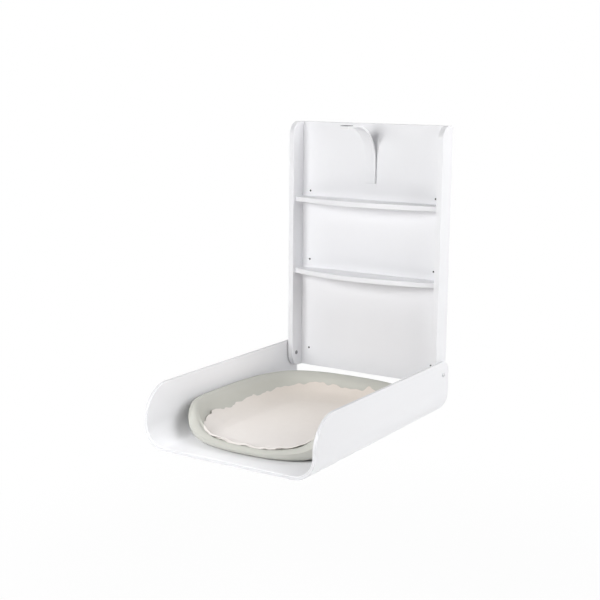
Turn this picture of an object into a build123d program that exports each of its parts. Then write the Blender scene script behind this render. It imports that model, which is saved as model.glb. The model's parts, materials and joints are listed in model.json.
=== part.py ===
# Fold-down changing table for a wall: a shallow cabinet with two bowed shelves stays on the wall,
# and a bent-veneer tray with a moulded mat folds up in front of it on two side pivots.
# X runs to the right, Y into the wall and Z up. The wall is the plane Y = 0, and the origin is the
# centre of the four outer wall screws. All sizes are in millimetres.

import os
from math import copysign, cos, pi, sin

from build123d import *

os.makedirs("parts", exist_ok=True)

# Wall screws: two columns, three rows given as heights above the tray's pivot axis
screw_column = 246
screw_row_low = 16
screw_row_middle = 342
screw_row_top = 588
screw_hole_radius = 3

# Tray pivot, in front of the wall and below the origin
pivot_y = -46
pivot_z = -(screw_row_low + screw_row_top) / 2

# Cabinet
inner_width = 556
panel_thickness = 19
panel_depth = 72
panel_top = pivot_z + 832
panel_bottom = pivot_z - 48.5
panel_corner_radius = 45
back_thickness = 10
edge_radius = 2
half_inner = inner_width / 2
half_outer = half_inner + panel_thickness
panel_height = panel_top - panel_bottom
panel_middle = (panel_top + panel_bottom) / 2

# Shelves
shelf_thickness = 18
upper_shelf_top = pivot_z + 570
lower_shelf_top = pivot_z + 313
shelf_end_front = -58
shelf_bow = 50

# Dowels: a wide one for the shelves and a slim one for the back panel
shelf_dowel_radius = 4
back_dowel_radius = 2.5
dowel_clearance = 0.05
dowel_end_gap = 0.5
dowel_in_panel = 12
shelf_dowel_in_shelf = 18
back_dowel_in_back = 12
shelf_dowel_places = (-24, -44)
back_dowel_rows = (pivot_z + 60, pivot_z + 230, pivot_z + 420, pivot_z + 690)

# Latch strip of bent veneer: a leg on the back panel, a quarter bend and a tongue over the tray
strip_width = 37
strip_thickness = 6
strip_spacer = 2
strip_back = -back_thickness - strip_spacer
leg_bottom = pivot_z + 627
leg_top = pivot_z + 697
leg_gap = 0.8
strip_bend = 124.5
tongue_end = -204
tip_corner = 7
pad_inset = 1.5
stop_thickness = 1.5
stop_back = -172
grip_thickness = 1.2
grip_back = -166
latch_screw_radius = 2
latch_screw_head = 4
latch_screw_rows = (leg_bottom + 16, leg_top - 16)
latch_screw_into_leg = 4.5
spacer_inset = 3

# Tray: one sheet bent to a U
tray_gap = 2.5
shell = 11
bend_inside = 65
tray_reach = 820
tray_wall_top = pivot_z + 45
tray_bottom = pivot_z - 147
tray_front_radius = 105
wall_gap = 3
half_tray_in = half_outer + tray_gap
half_tray_out = half_tray_in + shell
tray_front = pivot_y - tray_reach
tray_rear = -wall_gap
tray_floor = tray_bottom + shell
tray_height = tray_wall_top - tray_bottom
buffer_width = 44
buffer_height = 8
buffer_place = 170

# Pivot: sleeve nut through the side panel, washer, bush in the tray, screw from outside
sleeve_radius = 4.5
sleeve_flange_radius = 7
sleeve_flange = 2
sleeve_socket = 3
panel_bore = sleeve_radius + 0.05
washer_radius = 11
running_gap = 0.05
end_gap = 0.3
bush_radius = 6.5
bush_bore = bush_radius + 0.03
screw_radius = 2.9
screw_bore = 3
screw_length = 20
screw_head_radius = 7
screw_head = 3.6
screw_head_round = 2.4
hex_key = 4
hex_depth = 2

# Mat: levels as height above the tray floor, half width, front edge and rear edge
mat_outer = ((0, 236, -791, -98), (14, 266, -797, -88), (45, 285, -800, -82), (122, 284, -800, -82))
mat_inner = ((18, 170, -752, -190), (30, 212, -771, -150), (60, 243, -778, -126), (124, 259, -781, -110))
mat_crest = ((-830, 26), (-785, 30), (-750, 44), (-712, 84), (-670, 104), (-560, 109), (-400, 109), (-230, 101), (-50, 96))
mat_corner_x = 0.94
mat_corner_y = 0.13
mat_corner_round = 0.6
mat_rim_round = 11

# Liner: a thin sheet in the hollow of the mat; each edge wave is a count, a depth and a phase
liner_thickness = 2.5
liner_half_width = 234
liner_front = -756
liner_rear = -134
liner_points = 40
liner_squareness = 0.72
liner_waves = ((5, 0.022, 0.6), (8, 0.016, 0.0), (13, 0.012, 2.0))


def side_name(side):
    return "right" if side > 0 else "left"


def mat_section(level, half_width, front, rear):
    """Rounded oval of the mat at one height: four bowed sides and four large corners."""
    corner_x = half_width * mat_corner_x
    corner_step = (rear - front) / 2 * mat_corner_y
    corner_front = front + corner_step
    corner_rear = rear - corner_step
    middle = (front + rear) / 2
    with BuildSketch(Plane.XY.offset(tray_floor + level)) as section:
        with BuildLine():
            ThreePointArc((-corner_x, corner_front), (0, front), (corner_x, corner_front))
            ThreePointArc((corner_x, corner_front), (half_width, middle), (corner_x, corner_rear))
            ThreePointArc((corner_x, corner_rear), (0, rear), (-corner_x, corner_rear))
            ThreePointArc((-corner_x, corner_rear), (-half_width, middle), (-corner_x, corner_front))
        make_face()
        fillet(section.vertices(), half_width * mat_corner_round)
    return section.sketch


def liner_edge(step):
    """Point on the liner's edge: a squarish oval with waves."""
    turn = 2 * pi * step / liner_points
    wave = 1 + sum(depth * sin(count * turn + phase) for count, depth, phase in liner_waves)
    across = copysign(abs(cos(turn)) ** liner_squareness, cos(turn))
    along = copysign(abs(sin(turn)) ** liner_squareness, sin(turn))
    middle = (liner_front + liner_rear) / 2
    half_length = (liner_rear - liner_front) / 2
    return (liner_half_width * wave * across, middle + half_length * wave * along)


# Back panel, with wall screw holes and the countersunk holes of the latch screws
with BuildPart() as back_panel:
    with BuildSketch(Plane.XZ):
        with Locations((0, panel_middle)):
            Rectangle(inner_width, panel_height)
        for row in (screw_row_low, screw_row_middle, screw_row_top):
            with Locations((-screw_column, pivot_z + row), (screw_column, pivot_z + row)):
                Circle(screw_hole_radius, mode=Mode.SUBTRACT)
    extrude(amount=back_thickness)
    fillet(back_panel.edges().filter_by(Axis.X).group_by(Axis.Y)[0], edge_radius)
    for row in latch_screw_rows:
        with Locations(Plane((0, 0, row), x_dir=(1, 0, 0), z_dir=(0, 1, 0))):
            CounterSinkHole(latch_screw_radius + dowel_clearance, latch_screw_head)
    for side in (-1, 1):
        with BuildSketch(Plane.YZ.offset(side * half_inner)):
            with Locations(*[(-back_thickness / 2, row) for row in back_dowel_rows]):
                Circle(back_dowel_radius + dowel_clearance)
        extrude(amount=-side * (back_dowel_in_back + dowel_end_gap), mode=Mode.SUBTRACT)
back_panel.part.label = "back_panel"
export_step(back_panel.part, "parts/back_panel.step")

# Side panels: rounded front corners, a bore for the pivot sleeve and blind holes for the dowels
for side in (-1, 1):
    near_face = half_inner if side > 0 else -half_outer
    with BuildPart() as side_panel:
        with BuildSketch(Plane.YZ.offset(near_face)) as outline:
            with Locations((-panel_depth / 2, panel_middle)):
                Rectangle(panel_depth, panel_height)
            fillet(outline.vertices().group_by(Axis.X)[0], panel_corner_radius)
        extrude(amount=panel_thickness)
        flat_faces = side_panel.faces().sort_by(Axis.X)
        outer_edges = flat_faces[0].edges().sort_by(Axis.Y)[:-1] + flat_faces[-1].edges().sort_by(Axis.Y)[:-1]
        fillet(outer_edges, edge_radius)
        with BuildSketch(Plane.YZ.offset(near_face)):
            with Locations((pivot_y, pivot_z)):
                Circle(panel_bore)
        extrude(amount=panel_thickness, mode=Mode.SUBTRACT)
        with BuildSketch(Plane.YZ.offset(side * half_inner)):
            with Locations(*[(-back_thickness / 2, row) for row in back_dowel_rows]):
                Circle(back_dowel_radius + dowel_clearance)
            for shelf_top in (upper_shelf_top, lower_shelf_top):
                with Locations(*[(place, shelf_top - shelf_thickness / 2) for place in shelf_dowel_places]):
                    Circle(shelf_dowel_radius + dowel_clearance)
        extrude(amount=side * (dowel_in_panel + dowel_end_gap), mode=Mode.SUBTRACT)
    node = side_name(side) + "_side_panel"
    side_panel.part.label = node
    export_step(side_panel.part, f"parts/{node}.step")

# Dowels of the back panel, half in its edge and half in the side panel
with BuildPart() as back_panel_dowels:
    for side in (-1, 1):
        with BuildSketch(Plane.YZ.offset(side * (half_inner + dowel_in_panel))):
            with Locations(*[(-back_thickness / 2, row) for row in back_dowel_rows]):
                Circle(back_dowel_radius)
        extrude(amount=-side * (dowel_in_panel + back_dowel_in_back))
back_panel_dowels.part.label = "back_panel_dowels"
export_step(back_panel_dowels.part, "parts/back_panel_dowels.step")

# Shelves with a bowed front, and the dowels that carry their ends
for shelf_name, shelf_top in (("upper_shelf", upper_shelf_top), ("lower_shelf", lower_shelf_top)):
    with BuildPart() as shelf:
        with BuildSketch(Plane.XY.offset(shelf_top - shelf_thickness)):
            with BuildLine():
                Polyline((-half_inner, shelf_end_front), (-half_inner, -back_thickness),
                         (half_inner, -back_thickness), (half_inner, shelf_end_front))
                ThreePointArc((half_inner, shelf_end_front), (0, shelf_end_front - shelf_bow),
                              (-half_inner, shelf_end_front))
            make_face()
        extrude(amount=shelf_thickness)
        fillet(shelf.edges().filter_by(GeomType.CIRCLE), edge_radius)
        for side in (-1, 1):
            with BuildSketch(Plane.YZ.offset(side * half_inner)):
                with Locations(*[(place, shelf_top - shelf_thickness / 2) for place in shelf_dowel_places]):
                    Circle(shelf_dowel_radius + dowel_clearance)
            extrude(amount=-side * (shelf_dowel_in_shelf + dowel_end_gap), mode=Mode.SUBTRACT)
    shelf.part.label = shelf_name
    export_step(shelf.part, f"parts/{shelf_name}.step")

    with BuildPart() as shelf_dowels:
        for side in (-1, 1):
            with BuildSketch(Plane.YZ.offset(side * (half_inner + dowel_in_panel))):
                with Locations(*[(place, shelf_top - shelf_thickness / 2) for place in shelf_dowel_places]):
                    Circle(shelf_dowel_radius)
            extrude(amount=-side * (dowel_in_panel + shelf_dowel_in_shelf))
    shelf_dowels.part.label = shelf_name + "_dowels"
    export_step(shelf_dowels.part, f"parts/{shelf_name}_dowels.step")

# Latch spacer, a thin plate that keeps the strip clear of the back panel
with BuildPart() as latch_spacer:
    with BuildSketch(Plane.XZ.offset(back_thickness)):
        with Locations((0, (leg_bottom + leg_top) / 2)):
            Rectangle(strip_width - 2 * spacer_inset, leg_top - leg_bottom - 2 * spacer_inset)
        for row in latch_screw_rows:
            with Locations((0, row)):
                Circle(latch_screw_radius + dowel_clearance, mode=Mode.SUBTRACT)
    extrude(amount=strip_spacer)
latch_spacer.part.label = "latch_spacer"
export_step(latch_spacer.part, "parts/latch_spacer.step")

# Latch leg, the straight end of the bent strip that is screwed down from behind
with BuildPart() as latch_leg:
    with BuildSketch(Plane.XZ.offset(-strip_back)):
        with Locations((0, (leg_bottom + leg_top) / 2)):
            Rectangle(strip_width, leg_top - leg_bottom)
    extrude(amount=strip_thickness)
    with BuildSketch(Plane.XZ.offset(-strip_back)):
        for row in latch_screw_rows:
            with Locations((0, row)):
                Circle(latch_screw_radius + dowel_clearance)
    extrude(amount=latch_screw_into_leg + dowel_end_gap, mode=Mode.SUBTRACT)
latch_leg.part.label = "latch_leg"
export_step(latch_leg.part, "parts/latch_leg.step")

# Latch screws, countersunk in the rear face of the back panel
with BuildPart() as latch_screws:
    for row in latch_screw_rows:
        with BuildSketch(Plane.XZ):
            with Locations((0, row)):
                Circle(latch_screw_radius)
        extrude(amount=-strip_back + latch_screw_into_leg)
        with BuildSketch(Plane.XZ):
            with Locations((0, row)):
                Circle(latch_screw_head - dowel_clearance)
        extrude(amount=latch_screw_head - latch_screw_radius, taper=45)
latch_screws.part.label = "latch_screws"
export_step(latch_screws.part, "parts/latch_screws.step")

# Latch tongue: the strip bends forward in a quarter circle and runs level to a rounded tip
with BuildPart() as latch_tongue:
    with BuildSketch(Plane.YZ.offset(-strip_width / 2)):
        with BuildLine():
            bend = JernArc((strip_back, leg_top + leg_gap), (0, 1), strip_bend + strip_thickness, 90)
            Line(bend @ 1, (tongue_end, (bend @ 1).Y))
            offset(amount=strip_thickness, side=Side.LEFT)
        make_face()
    extrude(amount=strip_width)
    tip_edges = latch_tongue.faces().sort_by(Axis.Y)[0].edges().sort_by(Axis.X)
    fillet([tip_edges[0], tip_edges[-1]], tip_corner)
latch_tongue.part.label = "latch_tongue"
export_step(latch_tongue.part, "parts/latch_tongue.step")

# Latch stop, a white rubber pad under the tongue that bears on the folded tray's edge
tongue_underside = leg_top + leg_gap + strip_bend
with BuildPart() as latch_stop:
    with BuildSketch(Plane.XY.offset(tongue_underside - stop_thickness)):
        with Locations((0, (tongue_end + stop_back) / 2)):
            RectangleRounded(strip_width - 2 * pad_inset, stop_back - tongue_end - 2 * pad_inset, tip_corner)
    extrude(amount=stop_thickness)
latch_stop.part.label = "latch_stop"
export_step(latch_stop.part, "parts/latch_stop.step")

# Latch grip, a thin dark rubber pad for the thumb on top of the tongue's tip
with BuildPart() as latch_grip:
    with BuildSketch(Plane.XY.offset(tongue_underside + strip_thickness)):
        with Locations((0, (tongue_end + grip_back) / 2)):
            RectangleRounded(strip_width - 2 * pad_inset, grip_back - tongue_end - 2 * pad_inset, tip_corner)
    extrude(amount=grip_thickness)
latch_grip.part.label = "latch_grip"
export_step(latch_grip.part, "parts/latch_grip.step")

# Tray shell: one sheet bent to a U, its walls rounded at the front and, about the pivot, at the rear
with BuildPart() as tray_shell:
    with BuildSketch(Plane.XZ.offset(-tray_rear)) as outside:
        with Locations((0, tray_bottom + tray_height / 2)):
            Rectangle(2 * half_tray_out, tray_height)
        fillet(outside.vertices().group_by(Axis.Y)[0], bend_inside + shell)
    extrude(amount=tray_rear - tray_front)
    with BuildSketch(Plane.XZ.offset(-tray_rear)) as inside:
        with Locations((0, tray_floor + tray_height / 2)):
            Rectangle(2 * half_tray_in, tray_height)
        fillet(inside.vertices().group_by(Axis.Y)[0], bend_inside)
    extrude(amount=tray_rear - tray_front, mode=Mode.SUBTRACT)
    with BuildSketch(Plane.YZ.offset(-half_tray_out)) as wall_outline:
        with Locations(((tray_front + tray_rear) / 2, tray_bottom + tray_height / 2)):
            Rectangle(tray_rear - tray_front, tray_height)
        fillet(wall_outline.vertices().group_by(Axis.X)[0].sort_by(Axis.Y)[-1], tray_front_radius)
        fillet(wall_outline.vertices().group_by(Axis.X)[-1].sort_by(Axis.Y)[-1], tray_rear - pivot_y)
    extrude(amount=2 * half_tray_out, mode=Mode.INTERSECT)
    fillet(tray_shell.edges(), edge_radius)
    for side in (-1, 1):
        with BuildSketch(Plane.YZ.offset(side * half_tray_in)):
            with Locations((pivot_y, pivot_z)):
                Circle(bush_bore)
        extrude(amount=side * shell, mode=Mode.SUBTRACT)
tray_shell.part.label = "tray_shell"
export_step(tray_shell.part, "parts/tray_shell.step")

# Wall buffers, rubber pads on the rear edge of the tray's base that bear on the wall
with BuildPart() as wall_buffers:
    with BuildSketch(Plane.XZ):
        with Locations((-buffer_place, tray_bottom + shell / 2), (buffer_place, tray_bottom + shell / 2)):
            RectangleRounded(buffer_width, buffer_height, edge_radius)
    extrude(amount=wall_gap)
wall_buffers.part.label = "wall_buffers"
export_step(wall_buffers.part, "parts/wall_buffers.step")

# Pivots: on each side a sleeve nut, a washer, a bush in the tray and a screw from outside
for side in (-1, 1):
    sleeve_end = half_tray_out + end_gap

    with BuildPart() as pivot_sleeve:
        with BuildSketch(Plane.YZ.offset(side * half_inner)):
            with Locations((pivot_y, pivot_z)):
                Circle(sleeve_radius)
        extrude(amount=side * (sleeve_end - half_inner))
        with BuildSketch(Plane.YZ.offset(side * half_inner)):
            with Locations((pivot_y, pivot_z)):
                Circle(sleeve_flange_radius)
        extrude(amount=-side * sleeve_flange)
        with BuildSketch(Plane.YZ.offset(side * sleeve_end)):
            with Locations((pivot_y, pivot_z)):
                Circle(screw_bore)
        extrude(amount=-side * (screw_length + dowel_end_gap), mode=Mode.SUBTRACT)
        with BuildSketch(Plane.YZ.offset(side * (half_inner - sleeve_flange))):
            with Locations((pivot_y, pivot_z)):
                RegularPolygon(sleeve_socket, 6)
        extrude(amount=side * (sleeve_flange + hex_depth), mode=Mode.SUBTRACT)
    node = side_name(side) + "_pivot_sleeve"
    pivot_sleeve.part.label = node
    export_step(pivot_sleeve.part, f"parts/{node}.step")

    with BuildPart() as pivot_washer:
        with BuildSketch(Plane.YZ.offset(side * half_outer)):
            with Locations((pivot_y, pivot_z)):
                Circle(washer_radius)
                Circle(panel_bore, mode=Mode.SUBTRACT)
        extrude(amount=side * (tray_gap - end_gap))
    node = side_name(side) + "_pivot_washer"
    pivot_washer.part.label = node
    export_step(pivot_washer.part, f"parts/{node}.step")

    with BuildPart() as tray_bush:
        with BuildSketch(Plane.YZ.offset(side * half_tray_in)):
            with Locations((pivot_y, pivot_z)):
                Circle(bush_radius)
                Circle(sleeve_radius + running_gap, mode=Mode.SUBTRACT)
        extrude(amount=side * shell)
    node = side_name(side) + "_tray_bush"
    tray_bush.part.label = node
    export_step(tray_bush.part, f"parts/{node}.step")

    with BuildPart() as pivot_screw:
        with BuildSketch(Plane.YZ.offset(side * sleeve_end)):
            with Locations((pivot_y, pivot_z)):
                Circle(screw_head_radius)
        extrude(amount=side * screw_head)
        rim = pivot_screw.edges().filter_by(GeomType.CIRCLE).sort_by(Axis.X, reverse=side > 0)[0]
        fillet(rim, screw_head_round)
        with BuildSketch(Plane.YZ.offset(side * sleeve_end)):
            with Locations((pivot_y, pivot_z)):
                Circle(screw_radius)
        extrude(amount=-side * screw_length)
        with BuildSketch(Plane.YZ.offset(side * (sleeve_end + screw_head))):
            with Locations((pivot_y, pivot_z)):
                RegularPolygon(hex_key / 2, 6, major_radius=False)
        extrude(amount=-side * hex_depth, mode=Mode.SUBTRACT)
    node = side_name(side) + "_pivot_screw"
    pivot_screw.part.label = node
    export_step(pivot_screw.part, f"parts/{node}.step")

# Hollow of the mat, from its flat floor up past the rim
with BuildPart() as mat_hollow:
    loft([mat_section(*level) for level in mat_inner])

# Changing mat: a moulded oval whose rim is high along the sides and low at the front
with BuildPart() as changing_mat:
    loft([mat_section(*level) for level in mat_outer])
    add(mat_hollow.part, mode=Mode.SUBTRACT)
    with BuildSketch(Plane.YZ.offset(-half_tray_in)):
        with BuildLine():
            crest = Spline(*[(y, tray_floor + height) for y, height in mat_crest])
            Polyline(crest @ 1, ((crest @ 1).X, tray_wall_top), ((crest @ 0).X, tray_wall_top), crest @ 0)
        make_face()
    extrude(amount=2 * half_tray_in, mode=Mode.SUBTRACT)
    rim_face = changing_mat.faces().sort_by(Axis.Z)[-1]
    fillet(rim_face.edges(), mat_rim_round)
changing_mat.part.label = "changing_mat"
export_step(changing_mat.part, "parts/changing_mat.step")

# Liner, a thin sheet that follows the floor and the foot of the rim, with a wavy edge
with BuildPart() as mat_liner:
    add(mat_hollow.part)
    add(mat_hollow.part.moved(Location((0, 0, liner_thickness))), mode=Mode.SUBTRACT)
    with BuildSketch(Plane.XY.offset(tray_floor)):
        with BuildLine():
            Spline(*[liner_edge(step) for step in range(liner_points)], periodic=True)
        make_face()
    extrude(amount=tray_height, mode=Mode.INTERSECT)
mat_liner.part.label = "mat_liner"
export_step(mat_liner.part, "parts/mat_liner.step")
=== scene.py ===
# Fold-down changing table for a wall: a shallow lacquered cabinet with two bowed shelves, and a bent
# veneer tray with a foam mat that folds up in front of it. All sizes are in metres.
import json
from math import atan2, cos, degrees, exp, pi, radians, sin

import bmesh
import bpy
from mathutils import Euler, Matrix, Vector
from mathutils.bvhtree import BVHTree


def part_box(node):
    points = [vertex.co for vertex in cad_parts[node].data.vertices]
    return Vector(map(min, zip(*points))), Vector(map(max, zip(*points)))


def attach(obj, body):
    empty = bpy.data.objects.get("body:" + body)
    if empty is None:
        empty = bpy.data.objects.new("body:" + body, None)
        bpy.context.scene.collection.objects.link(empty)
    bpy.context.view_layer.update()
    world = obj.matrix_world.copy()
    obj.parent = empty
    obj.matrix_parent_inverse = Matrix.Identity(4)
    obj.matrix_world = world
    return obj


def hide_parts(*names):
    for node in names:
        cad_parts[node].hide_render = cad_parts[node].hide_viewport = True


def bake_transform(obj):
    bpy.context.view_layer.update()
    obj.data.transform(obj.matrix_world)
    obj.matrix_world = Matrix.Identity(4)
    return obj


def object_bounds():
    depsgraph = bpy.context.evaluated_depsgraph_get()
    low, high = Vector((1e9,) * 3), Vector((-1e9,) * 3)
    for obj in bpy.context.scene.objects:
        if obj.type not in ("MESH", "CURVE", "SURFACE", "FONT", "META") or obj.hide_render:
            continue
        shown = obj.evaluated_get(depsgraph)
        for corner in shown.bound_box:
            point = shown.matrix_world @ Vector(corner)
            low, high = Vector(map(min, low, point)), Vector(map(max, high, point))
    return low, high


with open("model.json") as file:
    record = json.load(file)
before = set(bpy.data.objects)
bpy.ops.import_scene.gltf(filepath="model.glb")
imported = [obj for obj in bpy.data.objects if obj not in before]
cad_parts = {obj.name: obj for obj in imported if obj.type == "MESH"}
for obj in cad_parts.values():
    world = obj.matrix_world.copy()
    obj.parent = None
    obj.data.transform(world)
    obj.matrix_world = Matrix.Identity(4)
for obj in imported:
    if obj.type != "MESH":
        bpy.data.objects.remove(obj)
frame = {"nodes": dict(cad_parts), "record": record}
cad_low, cad_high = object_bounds()


# The cabinet's boards are veneered plywood under sprayed satin lacquer: a back panel, two side
# panels with rounded front corners and two bowed shelves. The grain shows only as a faint relief
# under the white. The wall screws' holes are drilled through to the bare wood, and each hole with a
# thin ring round it is painted near-black, as painted shade inside the holes.
class Wire:
    """One output in a material. Arithmetic on it adds Math nodes, and add() makes any other node."""

    def __init__(self, tree, socket):
        self.tree = tree
        self.socket = socket

    def add(self, kind, settings=None, inputs=None, output=0):
        node = self.tree.nodes.new(kind)
        for name, value in (settings or {}).items():
            setattr(node, name, value)
        for name, value in (inputs or {}).items():
            if isinstance(value, Wire):
                self.tree.links.new(value.socket, node.inputs[name])
            else:
                node.inputs[name].default_value = value
        return Wire(self.tree, node.outputs[output])

    def math(self, operation, left, right=0.0):
        return self.add("ShaderNodeMath", {"operation": operation}, {0: left, 1: right})

    def __add__(self, other):
        return self.math("ADD", self, other)

    __radd__ = __add__

    def __sub__(self, other):
        return self.math("SUBTRACT", self, other)

    def __rsub__(self, other):
        return self.math("SUBTRACT", other, self)

    def __mul__(self, other):
        return self.math("MULTIPLY", self, other)

    __rmul__ = __mul__

    def __lt__(self, other):
        return self.math("LESS_THAN", self, other)

    def axis(self, index):
        return self.add("ShaderNodeSeparateXYZ", None, {0: self}, index)

    def noise(self, scale, detail=2.0, roughness=0.5):
        inputs = {"Vector": self, "Scale": scale, "Detail": detail, "Roughness": roughness}
        return self.add("ShaderNodeTexNoise", None, inputs)

    def stretched(self, scale):
        return self.add("ShaderNodeMapping", None, {"Vector": self, "Scale": scale})

    def ramp(self, start, end, low, high):
        """Rises gently from low to high as the value goes from start to end."""
        inputs = {"Value": self, "From Min": start, "From Max": end, "To Min": low, "To Max": high}
        return self.add("ShaderNodeMapRange", {"interpolation_type": "SMOOTHSTEP"}, inputs)

    def blend(self, low, high):
        return self.add("ShaderNodeMix", {"data_type": "RGBA"}, {0: self, 6: low, 7: high}, 2)

    def bump(self, strength, distance):
        inputs = {"Height": self, "Strength": strength, "Distance": distance}
        return self.add("ShaderNodeBump", None, inputs)

    def feed(self, shader, socket):
        self.tree.links.new(self.socket, shader.inputs[socket])


def new_finish(name, **values):
    """A material, its shader with these socket values, and its Object coordinates."""
    material = bpy.data.materials.new(name)
    material.use_nodes = True
    tree = material.node_tree
    shader = tree.nodes["Principled BSDF"]
    for socket, value in values.items():
        shader.inputs[socket.replace("_", " ")].default_value = value
    return material, shader, Wire(tree, tree.nodes.new("ShaderNodeTexCoord").outputs["Object"])


def dress(material, *names):
    """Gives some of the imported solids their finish."""
    for name in names:
        mesh = frame["nodes"][name].data
        mesh.materials.clear()
        mesh.materials.append(material)


lacquer_low = (0.845, 0.846, 0.866, 1)
lacquer_high = (0.875, 0.876, 0.894, 1)
# The next tone is the bare wood in the screw holes, painted near-black as painted shade inside them.
bare_wood_and_hole_shade = (0.045, 0.04, 0.037, 1)
upright_grain = (500.0, 500.0, 14.0)
level_grain = (14.0, 500.0, 500.0)


def lacquer(name, grain_scale, cut=None, painted_shade_tone=None):
    """White satin lacquer; grain_scale is small along the grain, and cut masks holes or cut edges, where a
    darker tone is painted in as shade.
    """
    material, shader, place = new_finish(name, Coat_Weight=0.15, Coat_Roughness=0.25)
    grain = place.stretched(grain_scale).noise(1.0, detail=5.0, roughness=0.6)
    cloud = place.noise(4.0)
    peel = place.noise(420.0, detail=1.0)
    colour = (0.55 * grain + 0.45 * cloud).blend(lacquer_low, lacquer_high)
    if cut:
        # Painted shade: the masked holes or edges take the darker tone.
        colour = cut(place).blend(colour, painted_shade_tone)
    colour.feed(shader, "Base Color")
    (0.3 + 0.14 * cloud + 0.06 * grain).feed(shader, "Roughness")
    (0.6 * grain + 0.4 * peel).bump(0.12, 0.0004).feed(shader, "Normal")
    return material


screw_hole_edge = 0.0036
mounts = {mount["name"]: mount for mount in frame["record"]["mounts"]}
screw_column = mounts["wall_screws"]["dims"]["spacing_x_mm"] / 2000
screw_row_outer = mounts["wall_screws"]["dims"]["spacing_y_mm"] / 2000
screw_row_middle = mounts["wall_screws_middle"]["pos_m"][2]


def screw_holes(place):
    """One within the drilled edge of a wall screw's hole, where painted shade goes."""
    across = place.math("ABSOLUTE", place.axis(0)) - screw_column
    from_outer = place.math("ABSOLUTE", place.axis(2)) - screw_row_outer
    from_middle = place.axis(2) - screw_row_middle
    to_row = place.math("MINIMUM", from_outer * from_outer, from_middle * from_middle)
    return across * across + to_row < screw_hole_edge ** 2


dress(lacquer("back_panel_lacquer", upright_grain, screw_holes, bare_wood_and_hole_shade), "back_panel")
dress(lacquer("side_panel_lacquer", upright_grain), "left_side_panel", "right_side_panel")
dress(lacquer("shelf_lacquer", level_grain), "upper_shelf", "lower_shelf")


# Turned beech dowels hold the boards together: slim ones along the back panel and thicker ones in
# the ends of the shelves. They are raw wood, glued in and out of sight.
beech_dark = (0.42, 0.27, 0.15, 1)
beech_light = (0.62, 0.44, 0.28, 1)
beech_grain = (25.0, 400.0, 400.0)
beech_flecks = (90.0, 900.0, 900.0)


def raw_beech(name):
    material, shader, place = new_finish(name, Roughness=0.7)
    grain = place.stretched(beech_grain).noise(1.0, detail=4.0)
    flecks = place.stretched(beech_flecks).noise(1.0, detail=1.0)
    (0.7 * grain + 0.3 * flecks).blend(beech_dark, beech_light).feed(shader, "Base Color")
    grain.bump(0.2, 0.0002).feed(shader, "Normal")
    return material


dress(raw_beech("dowel_beech"), "back_panel_dowels", "upper_shelf_dowels", "lower_shelf_dowels")


# The latch is one strip of bent laminated veneer, lacquered white. It is screwed flat to the back
# panel and bends forward in a quarter circle to a rounded tip. It springs between the top of its flat
# leg and the lower part of its bend.
leg_low, leg_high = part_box("latch_leg")
tongue_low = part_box("latch_tongue")[0]
strip_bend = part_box("latch_stop")[1].z - tongue_low.z
strip_bend_end = leg_low.y - strip_bend
strip_bend_steps = 28
strip_grain = (500.0, 40.0, 40.0)
tip_corner = 0.007
tip_corner_steps = 6
strip_edge = 0.0012
strip_edge_steps = 3
smooth_fold = radians(35)
sharp_fold = radians(60)
same_place = 1e-5


def finished_piece(name, bm, material):
    """A piece of the object from a bmesh, smooth except along its sharp edges."""
    bmesh.ops.recalc_face_normals(bm, faces=bm.faces)
    for face in bm.faces:
        face.smooth = True
    for edge in bm.edges:
        edge.smooth = edge.calc_face_angle(0) < smooth_fold
    mesh = bpy.data.meshes.new(name)
    bm.to_mesh(mesh)
    bm.free()
    mesh.materials.append(material)
    piece = bpy.data.objects.new(name, mesh)
    bpy.context.scene.collection.objects.link(piece)
    return piece


def extruded(bm, edges, step):
    """Draws a loop of edges out along a step, and gives the new loop."""
    made = bmesh.ops.extrude_edge_only(bm, edges=edges)["geom"]
    moved = [item for item in made if isinstance(item, bmesh.types.BMVert)]
    bmesh.ops.translate(bm, vec=step, verts=moved)
    return [item for item in made if isinstance(item, bmesh.types.BMEdge)]


def bent(bm, edges, centre, angle, steps):
    """Turns a loop of edges about an X axis through centre, and gives the new loop."""
    turned = bmesh.ops.spin(bm, geom=edges, cent=centre, axis=(1, 0, 0), angle=angle, steps=steps)
    return [item for item in turned["geom_last"] if isinstance(item, bmesh.types.BMEdge)]


def rounded(bm, edges, radius, steps):
    """Rounds some edges over."""
    bmesh.ops.bevel(bm, geom=edges, offset=radius, affect="EDGES", segments=steps, profile=0.5, material=-1)


def at_tip_corner(edge):
    """Whether an edge runs through the strip's thickness at a corner of its tip."""
    start, end = edge.verts[0].co, edge.verts[1].co
    return max(start.y, end.y) < tongue_low.y + same_place and abs(start.x - end.x) < same_place


bm = bmesh.new()
foot_plan = ((leg_low.x, leg_low.y), (leg_high.x, leg_low.y),
             (leg_high.x, leg_high.y), (leg_low.x, leg_high.y))
foot = [bm.verts.new((x, y, leg_low.z)) for x, y in foot_plan]
loop = [bm.edges.new((foot[i - 1], foot[i])) for i in range(len(foot))]
loop = extruded(bm, loop, (0, 0, tongue_low.z - leg_low.z))
loop = bent(bm, loop, (0, strip_bend_end, tongue_low.z), pi / 2, strip_bend_steps)
extruded(bm, loop, (0, tongue_low.y - strip_bend_end, 0))
bmesh.ops.holes_fill(bm, edges=bm.edges, sides=len(foot))
tip_corners = [edge for edge in bm.edges if at_tip_corner(edge)]
rounded(bm, tip_corners, tip_corner, tip_corner_steps)
sharp_edges = [edge for edge in bm.edges if edge.calc_face_angle(0) > sharp_fold]
rounded(bm, sharp_edges, strip_edge, strip_edge_steps)
latch_strip = finished_piece("latch_strip", bm, lacquer("latch_lacquer", strip_grain))
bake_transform(latch_strip)
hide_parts("latch_leg", "latch_tongue")


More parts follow.
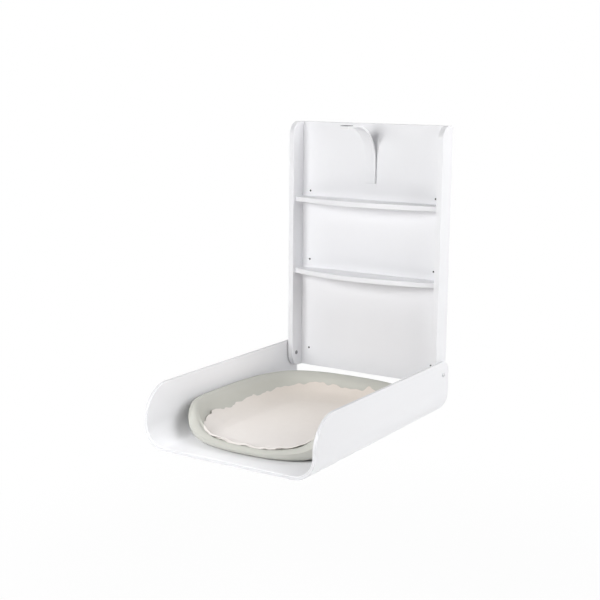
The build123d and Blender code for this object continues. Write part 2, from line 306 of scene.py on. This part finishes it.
# Moulded rubber with a matt skin and a fine mould grain: a white stop under the latch's tongue that
# bears on the folded tray's edge, a dark grip for the thumb on top of it, and dark buffers on the
# tray's rear edge that bear on the wall.
dark_rubber_low = (0.035, 0.035, 0.037, 1)
dark_rubber_high = (0.07, 0.07, 0.072, 1)
white_rubber_low = (0.76, 0.76, 0.75, 1)
white_rubber_high = (0.82, 0.82, 0.81, 1)


def moulded_rubber(name, low, high):
    material, shader, place = new_finish(name, Specular_IOR_Level=0.35)
    cloud = place.noise(60.0)
    cloud.blend(low, high).feed(shader, "Base Color")
    (0.62 + 0.2 * cloud).feed(shader, "Roughness")
    place.noise(2600.0).bump(0.3, 0.0002).feed(shader, "Normal")
    return material


dress(moulded_rubber("dark_rubber", dark_rubber_low, dark_rubber_high), "latch_grip", "wall_buffers")
dress(moulded_rubber("white_rubber", white_rubber_low, white_rubber_high), "latch_stop")


# The pivots and the latch screws: zinc plated screws with a hex socket, blackened sleeve nuts in the
# side panels, and nylon washers, bushes and a spacer that keep lacquer from rubbing on lacquer.
zinc_low = (0.5, 0.5, 0.51, 1)
zinc_high = (0.66, 0.66, 0.67, 1)
blackened_low = (0.3, 0.3, 0.305, 1)
blackened_high = (0.42, 0.42, 0.425, 1)
nylon_low = (0.66, 0.66, 0.64, 1)
nylon_high = (0.74, 0.74, 0.72, 1)
turning_marks = (60.0, 900.0, 900.0)


def turned_steel(name, low, high, roughness):
    material, shader, place = new_finish(name, Metallic=1.0)
    brushed = place.stretched(turning_marks).noise(1.0, detail=3.0)
    spots = place.noise(700.0)
    (0.6 * brushed + 0.4 * spots).blend(low, high).feed(shader, "Base Color")
    (roughness + 0.15 * spots).feed(shader, "Roughness")
    brushed.bump(0.08, 0.0001).feed(shader, "Normal")
    return material


def moulded_nylon(name):
    material, shader, place = new_finish(name)
    cloud = place.noise(180.0)
    cloud.blend(nylon_low, nylon_high).feed(shader, "Base Color")
    (0.42 + 0.15 * cloud).feed(shader, "Roughness")
    place.noise(1500.0, detail=1.0).bump(0.1, 0.0001).feed(shader, "Normal")
    return material


zinc = turned_steel("zinc_steel", zinc_low, zinc_high, roughness=0.24)
blackened = turned_steel("blackened_steel", blackened_low, blackened_high, roughness=0.34)
nylon = moulded_nylon("white_nylon")
dress(zinc, "latch_screws")
dress(nylon, "latch_spacer")
for side in ("left", "right"):
    dress(zinc, side + "_pivot_screw")
    dress(blackened, side + "_pivot_sleeve")
    dress(nylon, side + "_pivot_washer", side + "_tray_bush")


# The tray is one sheet of veneer laminate pressed to a U, with rounded front corners, lacquered like
# the cabinet. Its grain runs from the wall to the front edge. Its cut edges are painted a shade greyer,
# as painted shade that tones down the light falling on them.
tray_low, tray_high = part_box("tray_shell")
tray_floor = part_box("changing_mat")[0].z
tray_grain = (500.0, 14.0, 500.0)
shell_thickness = tray_floor - tray_low.z
shell_bend = 0.065
bend_x = tray_high.x - shell_thickness - shell_bend
bend_z = tray_floor + shell_bend
edge_margin = 0.0009
# The tone of the cut edges is painted shade.
painted_edge_shade = (0.63, 0.631, 0.647, 1)


def tray_edges(place):
    """One on the cut edges of the bent sheet, which lie between its inner and its outer face."""
    across = place.math("MAXIMUM", place.math("ABSOLUTE", place.axis(0)) - bend_x, 0.0)
    down = place.math("MAXIMUM", bend_z - place.axis(2), 0.0)
    from_bend = place.math("SQRT", across * across + down * down)
    from_middle = place.math("ABSOLUTE", from_bend - (shell_bend + shell_thickness / 2))
    return from_middle < shell_thickness / 2 - edge_margin


dress(lacquer("tray_lacquer", tray_grain, tray_edges, painted_edge_shade), "tray_shell")


# The changing mat is one piece of moulded foam with a closed, matt skin: an oval dish whose rounded
# rim is high along the sides and the head end and low at the front. It lies loose in the tray.
mat_points = 112
mat_bow_x = 2.5
mat_bow_y = 5.2
oval_reach = (0.5, 2.0)
oval_halvings = 24
mat_foot = 0.0035
mat_waist = 0.06

# Outer and inner side: each row is a height above the tray's floor, a half width, a front and a rear
mat_outer = ((0, 0.228, -0.782, -0.104), (0.005, 0.248, -0.792, -0.096), (0.014, 0.267, -0.799, -0.089),
             (0.045, 0.286, -0.800, -0.084), (0.122, 0.285, -0.800, -0.084))
mat_inner = ((0.018, 0.170, -0.752, -0.190), (0.030, 0.212, -0.771, -0.150),
             (0.060, 0.243, -0.778, -0.126), (0.124, 0.260, -0.781, -0.110))

# The rim's crest: each row is a place along the mat and the crest's height there
mat_crest = ((-0.830, 0.026), (-0.785, 0.030), (-0.750, 0.049), (-0.712, 0.092), (-0.670, 0.109),
             (-0.560, 0.110), (-0.400, 0.110), (-0.230, 0.102), (-0.050, 0.097))

# The rounding over the rim: each row is a share of the way in across it and a drop below the crest
mat_rim = ((0.02, 0.012), (0.16, 0.004), (0.45, 0), (0.74, 0.0035), (0.94, 0.012))


def between(rows, key):
    """The rest of a row of values, at a key between the keys that start the rows."""
    if key <= rows[0][0]:
        return rows[0][1:]
    for low, high in zip(rows, rows[1:]):
        if key <= high[0]:
            share = (key - low[0]) / (high[0] - low[0])
            return [a + share * (b - a) for a, b in zip(low[1:], high[1:])]
    return rows[-1][1:]


def oval(turn, half_width, front, rear):
    """A point at one angle on a squarish oval; its reach is found by halving the span it lies in."""
    half_length = (rear - front) / 2
    x, y = half_width * cos(turn), half_length * sin(turn)
    low, high = oval_reach
    for _ in range(oval_halvings):
        reach = (low + high) / 2
        inside = abs(reach * x / half_width) ** mat_bow_x + abs(reach * y / half_length) ** mat_bow_y < 1
        low, high = (reach, high) if inside else (low, reach)
    return Vector((reach * x, reach * y + (front + rear) / 2))


def ringed(around, rings, place):
    """A bmesh of closed rings; place gives a point from its turn and its ring's number."""
    bm = bmesh.new()
    for vert in bmesh.ops.create_grid(bm, x_segments=around, y_segments=rings - 1, size=0.5)["verts"]:
        vert.co = place(2 * pi * (vert.co.x + 0.5), round((vert.co.y + 0.5) * (rings - 1)))
    bmesh.ops.remove_doubles(bm, verts=bm.verts, dist=same_place)
    return bm


def flat_ring(rows, scale):
    """A ring on the underside or on the floor of the hollow, drawn in towards the middle."""
    def place(turn, crest):
        height, half_width, front, rear = rows[0]
        middle = Vector((0, (front + rear) / 2))
        return middle + (oval(turn, half_width, front, rear) - middle) * scale, height
    return place


def foot_ring(turn, crest):
    """The ring where the underside rounds up into the outer side."""
    return oval(turn, *between(mat_outer, mat_foot)), mat_foot


def outer_ring(share):
    """A ring on the outer side, at a share of the crest's height."""
    def place(turn, crest):
        height = share * crest
        return oval(turn, *between(mat_outer, height)), height
    return place


def rim_ring(share, drop):
    """A ring on the rounding over the rim."""
    def place(turn, crest):
        outside = oval(turn, *between(mat_outer, crest))
        inside = oval(turn, *between(mat_inner, crest))
        return outside.lerp(inside, share), crest - drop
    return place


def inner_ring(share):
    """A ring on the inner side, at a share of the way up from the hollow's floor to the crest."""
    def place(turn, crest):
        hollow = mat_inner[0][0]
        height = hollow + share * (crest - hollow)
        return oval(turn, *between(mat_inner, height)), height
    return place


# The rings run from the middle of the underside, out and over the rim, to the middle of the hollow
mat_rings = [flat_ring(mat_outer, scale) for scale in (0, 0.5, 0.9, 0.955)]
mat_rings += [foot_ring]
mat_rings += [outer_ring(share) for share in (0.22, 0.4, 0.6, 0.8)]
mat_rings += [rim_ring(share, drop) for share, drop in mat_rim]
mat_rings += [inner_ring(share) for share in (0.75, 0.55, 0.36, 0.2, 0.08, 0)]
mat_rings += [flat_ring(mat_inner, scale) for scale in (0.9, 0.5, 0)]


def mat_point(turn, ring):
    """A point of the mat; the crest's height is taken midway through the rim, at its waist."""
    outside = oval(turn, *between(mat_outer, mat_waist))
    inside = oval(turn, *between(mat_inner, mat_waist))
    crest = between(mat_crest, (outside * 0.5 + inside * 0.5).y)[0]
    plan, height = mat_rings[ring](turn, crest)
    return plan.x, plan.y, tray_floor + height


foam_low = (0.475, 0.475, 0.436, 1)
foam_high = (0.535, 0.535, 0.493, 1)


def moulded_foam(name):
    material, shader, place = new_finish(name, Specular_IOR_Level=0.32)
    cloud = place.noise(7.0, detail=3.0)
    pebble = place.noise(900.0)
    (0.75 * cloud + 0.25 * pebble).blend(foam_low, foam_high).feed(shader, "Base Color")
    (0.46 + 0.12 * cloud + 0.08 * pebble).feed(shader, "Roughness")
    pebble.bump(0.25, 0.0003).feed(shader, "Normal")
    return material


bm = ringed(mat_points, len(mat_rings), mat_point)
mat = finished_piece("mat_foam_body", bm, moulded_foam("grey_foam"))
smooth = mat.modifiers.new("smooth", "SUBSURF")
smooth.levels = smooth.render_levels = 2
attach(mat, "tray")
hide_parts("changing_mat")


# The liner is a thin soft cream sheet with an uneven cut edge. It is laid in the hollow of the mat,
# climbs the foot of the rim and reaches over the low front, and its edge stands off the foam here
# and there.
liner_half_width = 0.2355
liner_front = -0.7765
liner_rear = -0.1285
liner_squareness = 0.556
liner_thickness = 0.0018
liner_gap = 0.0008
liner_points = 480
liner_rings = 44
liner_ring_crowding = 1.6

# Lobes of the edge, and lifts off the foam: a direction in degrees, a size and a half width in degrees
liner_lobes = ((309, 0.021, 9), (215, 0.007, 7), (197, -0.005, 6), (168, 0.003, 6), (155, -0.002, 4),
               (135, 0.005, 7), (78, 0.0045, 4), (259, 0.004, 6), (282, -0.003, 8), (236, -0.003, 5),
               (45, 0.004, 8), (20, -0.004, 7), (352, 0.004, 8), (335, -0.003, 6))
liner_lifts = ((219, 0.008, 9), (254, 0.008, 5), (271, 0.008, 3.5), (283, 0.006, 2.5), (291, 0.008, 4),
               (301, 0.005, 5), (150, 0.004, 4), (95, 0.003, 6), (40, 0.004, 6), (350, 0.004, 5))
liner_lifted_share = 0.18
liner_lift_curve = 0.9

# Fine raggedness of the cut: a count of waves around the edge, a depth and a phase
liner_ragged = ((29, 0.0012, 1.0), (47, 0.0011, 0.3), (73, 0.0006, 2.0))


def power(value, exponent):
    """A power that keeps the value's sign."""
    return abs(value) ** exponent * (1 if value > 0 else -1)


def swell(lobes, turn):
    """The sum of some lobes at one angle."""
    total = 0.0
    for direction, size, width in lobes:
        away = (degrees(turn) - direction + 180) % 360 - 180
        total += size * exp(-(away / width) ** 2)
    return total


def liner_edge(turn):
    """The edge's place from the liner's middle, and its lift off the foam, at one angle."""
    across = power(cos(turn), liner_squareness) * liner_half_width
    along = power(sin(turn), liner_squareness) * (liner_rear - liner_front) / 2
    edge = Vector((across, along))
    heading = atan2(along, across)
    ragged = sum(depth * sin(count * heading + phase) for count, depth, phase in liner_ragged)
    return edge + edge.normalized() * (swell(liner_lobes, heading) + ragged), swell(liner_lifts, heading)


bpy.context.view_layer.update()
foam = BVHTree.FromObject(mat, bpy.context.evaluated_depsgraph_get())
liner_middle = Vector((0, (liner_front + liner_rear) / 2))


def liner_point(turn, ring):
    """A point of the sheet, dropped on the foam from above and raised near the edge where it lifts."""
    share = 1 - (1 - ring / liner_rings) ** liner_ring_crowding
    edge, lift = liner_edge(turn)
    plan = liner_middle + edge * share
    under, normal, _, _ = foam.ray_cast(Vector((plan.x, plan.y, cad_high.z)), Vector((0, 0, -1)))
    raised = max(0, (share - 1 + liner_lifted_share) / liner_lifted_share) ** liner_lift_curve
    return under + normal * (liner_gap + lift * raised)


foot_low = (0.73, 0.685, 0.655, 1)
foot_high = (0.795, 0.76, 0.73, 1)
# The head end's tone is a little yellower, and deeper as painted shade.
shaded_head_low = (0.665, 0.605, 0.55, 1)
shaded_head_high = (0.735, 0.68, 0.63, 1)


def soft_liner(name):
    """A soft nap over slow unevenness, a little yellower towards the head end, and deeper in tone there as
    painted shade.
    """
    material, shader, place = new_finish(
        name, Sheen_Weight=0.3, Sheen_Roughness=0.5, Specular_IOR_Level=0.2)
    cloud = place.noise(9.0, detail=3.0)
    mottle = place.noise(48.0, detail=3.0)
    nap = place.noise(1100.0, detail=3.0)
    tone = 0.4 * cloud + 0.35 * mottle + 0.25 * nap
    headward = place.axis(1).ramp(liner_front, liner_rear, 0.0, 1.0)
    foot = tone.blend(foot_low, foot_high)
    head = tone.blend(shaded_head_low, shaded_head_high)
    headward.blend(foot, head).feed(shader, "Base Color")
    (0.8 + 0.15 * nap).feed(shader, "Roughness")
    (0.8 * mottle + 0.2 * nap).bump(0.3, 0.002).feed(shader, "Normal")
    return material


bm = ringed(liner_points, liner_rings + 1, liner_point)
liner = finished_piece("liner_sheet", bm, soft_liner("cream_liner"))
thick = liner.modifiers.new("thick", "SOLIDIFY")
thick.thickness = liner_thickness
thick.offset = 1.0
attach(liner, "tray")
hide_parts("mat_liner")


# The studio: a pale floor as far below as a wall-hung table leaves it, a white surround, a soft key
# lamp in front and a little to the left, and weaker wide lamps at the right and behind.
hang_height = 0.86
floor_radius = 6.0
floor_sides = 96
floor_near = 1.0
floor_far = 2.6
floor_near_glow = 0.92
floor_low = (0.93, 0.93, 0.93, 1)
floor_high = (0.95, 0.95, 0.95, 1)
white = (1, 1, 1, 1)


def seen(tree):
    """One where a camera, mirror or glass ray looks, and zero for light that falls on the object."""
    path = tree.nodes.new("ShaderNodeLightPath").outputs
    camera_ray, mirror_ray, glass_ray = [
        Wire(tree, path[name]) for name in ("Is Camera Ray", "Is Glossy Ray", "Is Transmission Ray")]
    return camera_ray.math("MAXIMUM", camera_ray, mirror_ray.math("MAXIMUM", mirror_ray, glass_ray))


def pale_floor(name):
    """A white floor that keeps the object's shadow, and fades into the white surround far out."""
    material, shader, place = new_finish(name, Roughness=0.9, Specular_IOR_Level=0.1)
    place.noise(3.0).blend(floor_low, floor_high).feed(shader, "Base Color")
    away = place.add("ShaderNodeVectorMath", {"operation": "LENGTH"}, {0: place}, 1)
    share = away.ramp(floor_near, floor_far, floor_near_glow, 1.0)
    glow = place.add("ShaderNodeEmission", None, {"Color": white, "Strength": 1.0})
    lit = Wire(place.tree, shader.outputs[0])
    mixed = place.add("ShaderNodeMixShader", None, {0: share * seen(place.tree), 1: lit, 2: glow})
    mixed.feed(place.tree.nodes["Material Output"], "Surface")
    return material


bm = bmesh.new()
floor_place = Matrix.Translation((0, 0, cad_low.z - hang_height))
bmesh.ops.create_circle(bm, cap_ends=True, segments=floor_sides, radius=floor_radius, matrix=floor_place)
floor = finished_piece("floor", bm, pale_floor("pale_floor"))

world = bpy.data.worlds.new("surround")
bpy.context.scene.world = world
world.use_nodes = True
background = world.node_tree.nodes["Background"]
background.inputs["Color"].default_value = white
seen(world.node_tree).feed(background, "Strength")

# Each lamp: a turn to the right, a height and a tilt down in degrees, a distance, a size and watts
lamp_aim = Vector((0, -0.35, -0.05))
lamps = {
    "key": (-14, 16, 46, 3.0, 1.9, 104),
    "right": (79, 22, 0, 4.0, 2.2, 36),
    "right_low": (105, 15, 0, 4.0, 2.6, 59),
    "rear_right": (118, 50, 0, 4.0, 2.0, 54),
    "rear_left": (-120, 45, 0, 4.0, 2.0, 20),
    "rear": (180, 14, 0, 4.0, 1.6, 28),
}


def lamp_way(height, turn):
    """The way from the object to a lamp at one height and turn."""
    return Euler((radians(-height), 0, radians(turn))).to_matrix() @ Vector((0, -1, 0))


for name, (turn, height, tilt, distance, size, watts) in lamps.items():
    lamp = bpy.data.lights.new(name, "AREA")
    lamp.size = size
    lamp.energy = watts
    lamp_object = bpy.data.objects.new(name, lamp)
    lamp_object.location = lamp_aim + lamp_way(height, turn) * distance
    lamp_object.rotation_euler = lamp_way(height + tilt, turn).to_track_quat("Z", "Y").to_euler()
    bpy.context.scene.collection.objects.link(lamp_object)


# The camera stands in front and to the right, a little above the cabinet, and looks down at it.
# Its angles are in degrees, and its lens and sensor in millimetres.
camera_place = (1.9712, -3.5827, 0.6886)
camera_yaw = 32.238
camera_pitch = -10.49
camera_roll = 0.514
camera_lens = 70.94
camera_sensor = 36.0
camera_shift = (-0.0018, -0.0095)
camera = bpy.data.cameras.new("camera")
camera.lens = camera_lens
camera.sensor_width = camera_sensor
camera.shift_x, camera.shift_y = camera_shift
camera_object = bpy.data.objects.new("camera", camera)
aim = Euler((radians(90 + camera_pitch), 0, radians(camera_yaw))).to_matrix()
aim = aim @ Matrix.Rotation(radians(camera_roll), 3, "Z")
camera_object.matrix_world = Matrix.Translation(camera_place) @ aim.to_4x4()
bpy.context.scene.collection.objects.link(camera_object)
bpy.context.scene.camera = camera_object
bpy.context.scene.view_settings.view_transform = "Standard"

bpy.context.view_layer.update()
